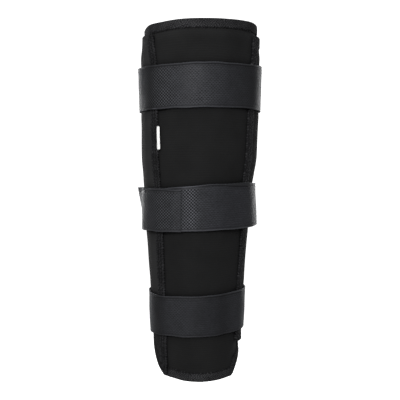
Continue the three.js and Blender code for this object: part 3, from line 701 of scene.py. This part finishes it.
def under_straps(turn, z, margin):
    """1 where a strap lies over this place, fading to 0 within margin of its edges, and how far from the nearest edge."""
    cover, near = np.zeros(np.shape(z)), np.full(np.shape(z), 99.0)
    for t, _, up, _, low in edges.values():
        first = t <= t[0] + 360
        at = (np.asarray(turn) - t[0]) % 360 + t[0]
        top, bottom = np.interp(at, t[first], up[first]), np.interp(at, t[first], low[first])
        inside = np.minimum(top - z, z - bottom)
        cover = np.maximum(cover, ease(inside / margin + 0.5))
        near = np.minimum(near, np.abs(inside))
    return cover, near


# ---------------------------------------------------------------- the two walls
def body(name, sheet, paint, across, up, arc, seed, puff):
    edge = loop(outline(sheet, 0, 90, 120, 8))
    at = fill(outline(sheet, 1.0, across, up, arc))
    turn, z = at[..., 0], at[..., 1]
    w = from_edge(edge, at)
    cover, near = under_straps(turn, z, 8.0)
    inner = ease((w - 10) / 14)
    swell = puff * (np.exp(-((near - 7) / 6) ** 2) * (1 - cover) - cover) + 0.22 * waves(turn / turn_of(z), z, seed, 55)
    face = sheet.face(turn, w) + swell * inner
    back = sheet.back(turn) - 0.15 * waves(turn / turn_of(z), z, seed + 5, 60) * inner
    face, back = face - sheet.tuck(turn, z), back - sheet.tuck(turn, z)
    points = np.concatenate([place(turn, z, face).reshape(-1, 3), place(turn, z, back).reshape(-1, 3)])
    lay = np.stack([turn / turn_of(z), z, w], -1).reshape(-1, 3)
    # painted shade: the laminate is painted darker under a strap and in a band beside its edges
    painted_shade_and_light = np.where(cover > 0.5, 0.45, 1 - 0.55 * np.exp(-near / 3.0))
    if sheet is panel:   # painted light: the panel's laminate is painted lighter in a band just below the tape at the top
        painted_shade_and_light = painted_shade_and_light * (1 + 0.4 * np.exp(-((w - 13) / 5) ** 2) * ease((z - 375) / 10))
    painted_shade_and_light = painted_shade_and_light.ravel()
    return piece(name, points, wall_faces(*turn.shape), paint, name,
                 [("lay", np.concatenate([lay, lay])), ("painted_shade_and_light", np.concatenate([painted_shade_and_light, np.ones_like(painted_shade_and_light)]))])


front_panel = body("front_panel", panel, PANEL_CLOTH, 84, 170, 10, 41, 0.3)
back_wrap = body("back_wrap", wrap, WRAP_CLOTH, 130, 170, 8, 51, 0.2)


# ---------------------------------------------------------------- the tapes over their edges
def binding(name, sheet, across, up, arc, rows, scallop, seed, tone_and_painted_light_of, rough_of, lift, calm_of):
    """A knit tape folded over the wall's edge. rows are the stitch rows, by their distance from the edge; rough_of
    gives the pebbles' share of their full height; lift is the tape's outer side above the face that it lies on;
    calm_of gives by turn and height where the tape lies smooth and flush."""
    rim, end = (loop(outline(sheet, i, across, up, arc)) for i in (0.0, TAPE_WIDTH))
    flat = np.stack([rim[:, 0] / turn_of(rim[:, 1]), rim[:, 1]], -1)
    step = np.hypot(*(np.roll(flat, -1, 0) - flat).T)
    along = np.concatenate([[0], np.cumsum(step)[:-1]])
    total = step.sum()
    pitch = total / round(total / STITCH)
    beat = 2 * np.pi * along / pitch
    calm, rough = calm_of(rim[:, 0], rim[:, 1]), rough_of(rim[:, 0])
    reach_in = TAPE_WIDTH + scallop * (np.cos(beat) - 0.4) + 0.25 * waves(along, 0 * along, seed, 40)

    front = np.concatenate([[1.0, 0.975], np.arange(0.93, 0.09, -0.055)])
    behind = np.concatenate([np.arange(0.1, 0.95, 0.11), [0.975, 1.0]])
    turns = np.linspace(0, np.pi, 8)

    def height(w, u):
        a, b = 2 * np.pi * u / 3.1, 2 * np.pi * w / 2.9
        jig = 0.9 * waves(u, w, seed + 1, 7)
        bumps = 0.5 + 0.5 * np.cos(a + jig) * np.cos(b + 0.8 * jig)
        return np.clip(bumps + 0.22 * waves(u, w, seed + 2, 2.4), 0, 1.1)

    columns, marks = [], []

    def column(share, lift_of, pebble):
        w = share * reach_in
        p = rim + (end - rim) * (w / TAPE_WIDTH)[:, None]
        bump = 0.5 + (height(w, along) - 0.5) * rough * (1 - 0.9 * calm) if pebble else np.full(len(w), 0.5)
        sewn = 0
        for row in rows:
            dip = np.exp(-((w - row) / 0.7) ** 2)
            sewn = sewn + dip * (0.16 + 0.5 * (0.5 - 0.5 * np.cos(beat)) ** 2) * (1 - calm) * lift / 0.85
        columns.append(place(p[:, 0], p[:, 1], lift_of(p[:, 0], w, 0.34 * (bump - 0.5) - sewn) - sheet.tuck(*p.T)))
        # painted shade: the mark is darkened at the stitch dips, in a line along the front tape's inner edge, and on
        # the outer rim of the wrap's tape on its right edge
        inner_edge_painted_shadow = 0.12 * ease((w - rows[-1] - 0.4) / 0.6) * (rows[-1] > 8)
        rim_painted_shade = 0.4 * (1 - ease((w - 0.6) / 1.8)) * ((rim[:, 0] < 150) & (rows[0] < 8))
        marks.append(np.clip(bump - (1.2 if rows[-1] > 8 else 1.9) * sewn - inner_edge_painted_shadow - rim_painted_shade, 0, 1))

    for share in front:
        thick = lift * min(1.0, 0.25 + 30 * (1 - share))
        column(share, lambda t, w, h, k=thick: sheet.face(t, w) + k * (1 - 0.8 * calm * ease((w - 3) / 8)) + (h if k > 0.9 * lift else 0), True)
    for a in turns:
        share, k = 0.07 * (1 - math.sin(a)), math.cos(a)
        def round_edge(t, w, h, k=k):
            over, beneath = sheet.face(t, 0 * w) + lift, sheet.back(t) - lift
            mid, radius = (over + beneath) / 2, (over - beneath) / 2
            return mid + (radius + h * 0.7) * (abs(k) ** 0.75 * (1 if k > 0 else -1))
        column(share, round_edge, True)
    for share in behind:
        thick = lift * min(1.0, 0.25 + 30 * (1 - share))
        column(share, lambda t, w, h, k=thick: sheet.back(t) - k - (h * 0.6 if k > 0.9 * lift else 0), True)
    column(0.12, lambda t, w, h: sheet.back(t) - 0.12, False)
    column(0.12, lambda t, w, h: sheet.face(t, 0 * w) + 0.12, False)
    points, mark = np.stack(columns, 1), np.stack(marks, 1)
    n, m = mark.shape
    made = piece(name, points.reshape(-1, 3), ring_faces(n, m, True), TAPE_CLOTH, name,
                 [("pebble", mark.ravel()), ("tone_and_painted_light", np.repeat(tone_and_painted_light_of(*rim.T), m)), ("calm", np.repeat(calm, m))])

    # stitches: short bowed lengths of thread from one dip to the next
    verts, faces = [], []
    count = round(total / pitch)
    ring, bows = 6, 5
    for row in rows:
        for n in range(count):
            u = (n + np.linspace(0.0, 1.0, bows) * 0.9 + 0.05 + 0.5) * pitch
            if np.interp((n + 0.5) * pitch % total, along, calm) > 0.5:
                continue
            at = np.stack([np.interp(u % total, np.append(along, total), np.append(line[:, c], line[0, c]))
                           for line in (rim, end) for c in (0, 1)], -1)
            p = at[:, :2] + (at[:, 2:] - at[:, :2]) * (row / TAPE_WIDTH)
            bow = np.sin(np.linspace(0, np.pi, bows)) ** 0.7
            high = sheet.face(p[:, 0], row + 0 * u) + lift - 0.42 + 0.34 * bow - sheet.tuck(*p.T)
            mid = place(p[:, 0], p[:, 1], high)
            way = np.gradient(mid, axis=0)
            way /= np.linalg.norm(way, axis=1)[:, None]
            out = place(p[:, 0], p[:, 1], high + 1) - mid
            side = np.cross(way, out)
            side /= np.linalg.norm(side, axis=1)[:, None]
            out = np.cross(side, way)
            fat = 0.22 * (0.45 + 0.55 * bow)
            first = len(verts) * ring * bows
            a = np.linspace(0, 2 * np.pi, ring, endpoint=False)
            verts.append(mid[:, None] + fat[:, None, None] * (np.cos(a)[None, :, None] * side[:, None] + np.sin(a)[None, :, None] * out[:, None]))
            faces += [[v + first for v in f] for f in ring_faces(bows, ring, False)]
    sewn = piece(name.replace("binding", "stitches"), np.concatenate([v.reshape(-1, 3) for v in verts]), faces, THREAD)
    return made, sewn, total


# painted shade: the front tape is darker along its bottom and toward the right at the top; the wrap's tape is darker in
# tone, lighter on its right edge
front_binding, front_stitches, front_length = binding("front_binding", panel, 250, 560, 34, [10.2], 0.6, 61,
                                                         lambda t, z: 0.92 + (0.05 - 0.22 * ease((t - 15) / 25) + 0.17 * ease((t - 40) / 15)) * ease((z - 20) / 40), lambda t: 0.9 + 0 * t, 0.85, lambda t, z: 0 * t)
wrap_binding, wrap_stitches, wrap_length = binding("wrap_binding", wrap, 420, 560, 22, [3.4, 7.0], 0.3, 71,
                                                      lambda t, z: 0.68 + 0.42 * (t < 150), lambda t: 0.7 + 0.4 * (t < 150), 0.6, lambda t, z: ease((t - 250) / 12) * ease((305 - t) / 4) * ease((z - 380) / 8))


# ---------------------------------------------------------------- the label: a thin folded tab
def label():
    turn, lift = curve([(i, t, l) for i, (t, l) in enumerate(LABEL_SECTION)], 1), curve([(i, t, l) for i, (t, l) in enumerate(LABEL_SECTION)], 2)
    i, z = np.meshgrid(np.linspace(0, len(LABEL_SECTION) - 1, 25), np.linspace(*LABEL_HEIGHTS, 60))
    mid = (LABEL_HEIGHTS[0] + LABEL_HEIGHTS[1]) / 2
    v = (z - mid) / (LABEL_HEIGHTS[1] - LABEL_HEIGHTS[0]) * 2
    end = 1 - 0.06 * np.abs(2 * i / (len(LABEL_SECTION) - 1) - 1) ** 3
    z = mid + v * end * (LABEL_HEIGHTS[1] - LABEL_HEIGHTS[0]) / 2
    wave = 0.12 * np.sin(v * 2.2 + 0.4) * i / 4
    at = wrap.right(z) - 360 + turn(i)
    out, back = place(at, z, lift(i) + 0.7 + wave), place(at, z, lift(i) + 0.25 + wave)
    lay = np.stack([i * 2.0, z, 0 * z], -1).reshape(-1, 3)
    return piece("side_label", np.concatenate([out.reshape(-1, 3), back.reshape(-1, 3)]), wall_faces(*i.shape),
                 LABEL_CLOTH, "side_label", [("lay", np.concatenate([lay, lay]))])


side_label = label()

# ---------------------------------------------------------------- floor, light and camera
scene = bpy.context.scene
scene.view_settings.view_transform = "Standard"
scene.view_settings.look = "None"



def stage(name, points, faces, glow):
    """A pale piece of the studio, bright by itself so that it stays even. Only the camera sees its glow."""
    k = Kit(name)
    k.finish(k.blend(k.noise(400, 2.0), (0.9, 0.9, 0.9), (0.93, 0.93, 0.93)), 0.9, k.bump(k.noise(3, 2.0), 0.1, 0.2), 0.1, 0.0, 0.5, (1, 1, 1))
    k.shader.inputs["Emission Color"].default_value = (1, 1, 1, 1)
    k.shader.inputs["Emission Strength"].default_value = glow
    mesh = bpy.data.meshes.new(name)
    mesh.from_pydata(points, [], faces)
    mesh.materials.append(k.material)
    obj = bpy.data.objects.new(name, mesh)
    obj.visible_diffuse = obj.visible_glossy = obj.visible_transmission = obj.visible_shadow = False
    scene.collection.objects.link(obj)


stage("floor", [(-9, -9, -0.45), (9, -9, -0.45), (9, 9, -0.45), (-9, 9, -0.45)], [(0, 1, 2, 3)], 0.8)
n = np.arange(48) * 2 * np.pi / 48
ring = [(8.5 * math.cos(a), 8.5 * math.sin(a)) for a in n]
rows = [(x, y, -0.5) for x, y in ring] + [(x, y, 9.0) for x, y in ring]
stage("backdrop", rows, [(i, (i + 1) % 48, 48 + (i + 1) % 48, 48 + i) for i in range(48)] + [tuple(range(48, 96))], 1.0)

world = bpy.data.worlds.new("studio")
scene.world = world
world.use_nodes = True
world.node_tree.nodes["Background"].inputs["Color"].default_value = (1, 1, 1, 1)
world.node_tree.nodes["Background"].inputs["Strength"].default_value = 0.4


def lamp(name, at, towards, size, watts):
    data = bpy.data.lights.new(name, "AREA")
    data.shape, data.size, data.energy = "DISK", size, watts
    obj = bpy.data.objects.new(name, data)
    obj.location = at
    way = np.array(towards, float) - np.array(at, float)
    way /= np.linalg.norm(way)
    flat = math.hypot(way[0], way[1])
    obj.rotation_euler = (math.atan2(flat, -way[2]), 0, math.atan2(-way[0], way[1]))
    scene.collection.objects.link(obj)


lamp("key", (-0.55, -1.85, 0.95), (0, 0, 0.2), 0.8, 32)
lamp("rim_left", (-1.0, 1.6, 0.3), (0, 0, 0.2), 0.7, 10)
lamp("rim_right", (1.0, 1.6, 0.3), (0, 0, 0.2), 0.7, 9)

camera_data = bpy.data.cameras.new("camera")
camera_data.sensor_fit, camera_data.sensor_width, camera_data.lens = "HORIZONTAL", 36.0, 36.0 * 621.5 / 400
camera = bpy.data.objects.new("camera", camera_data)
camera.location = (0.0036, -0.75, 0.2455)
camera.rotation_euler = (math.radians(90 - 2.945), 0, 0)
scene.collection.objects.link(camera)
scene.camera = camera

bpy.context.view_layer.update()
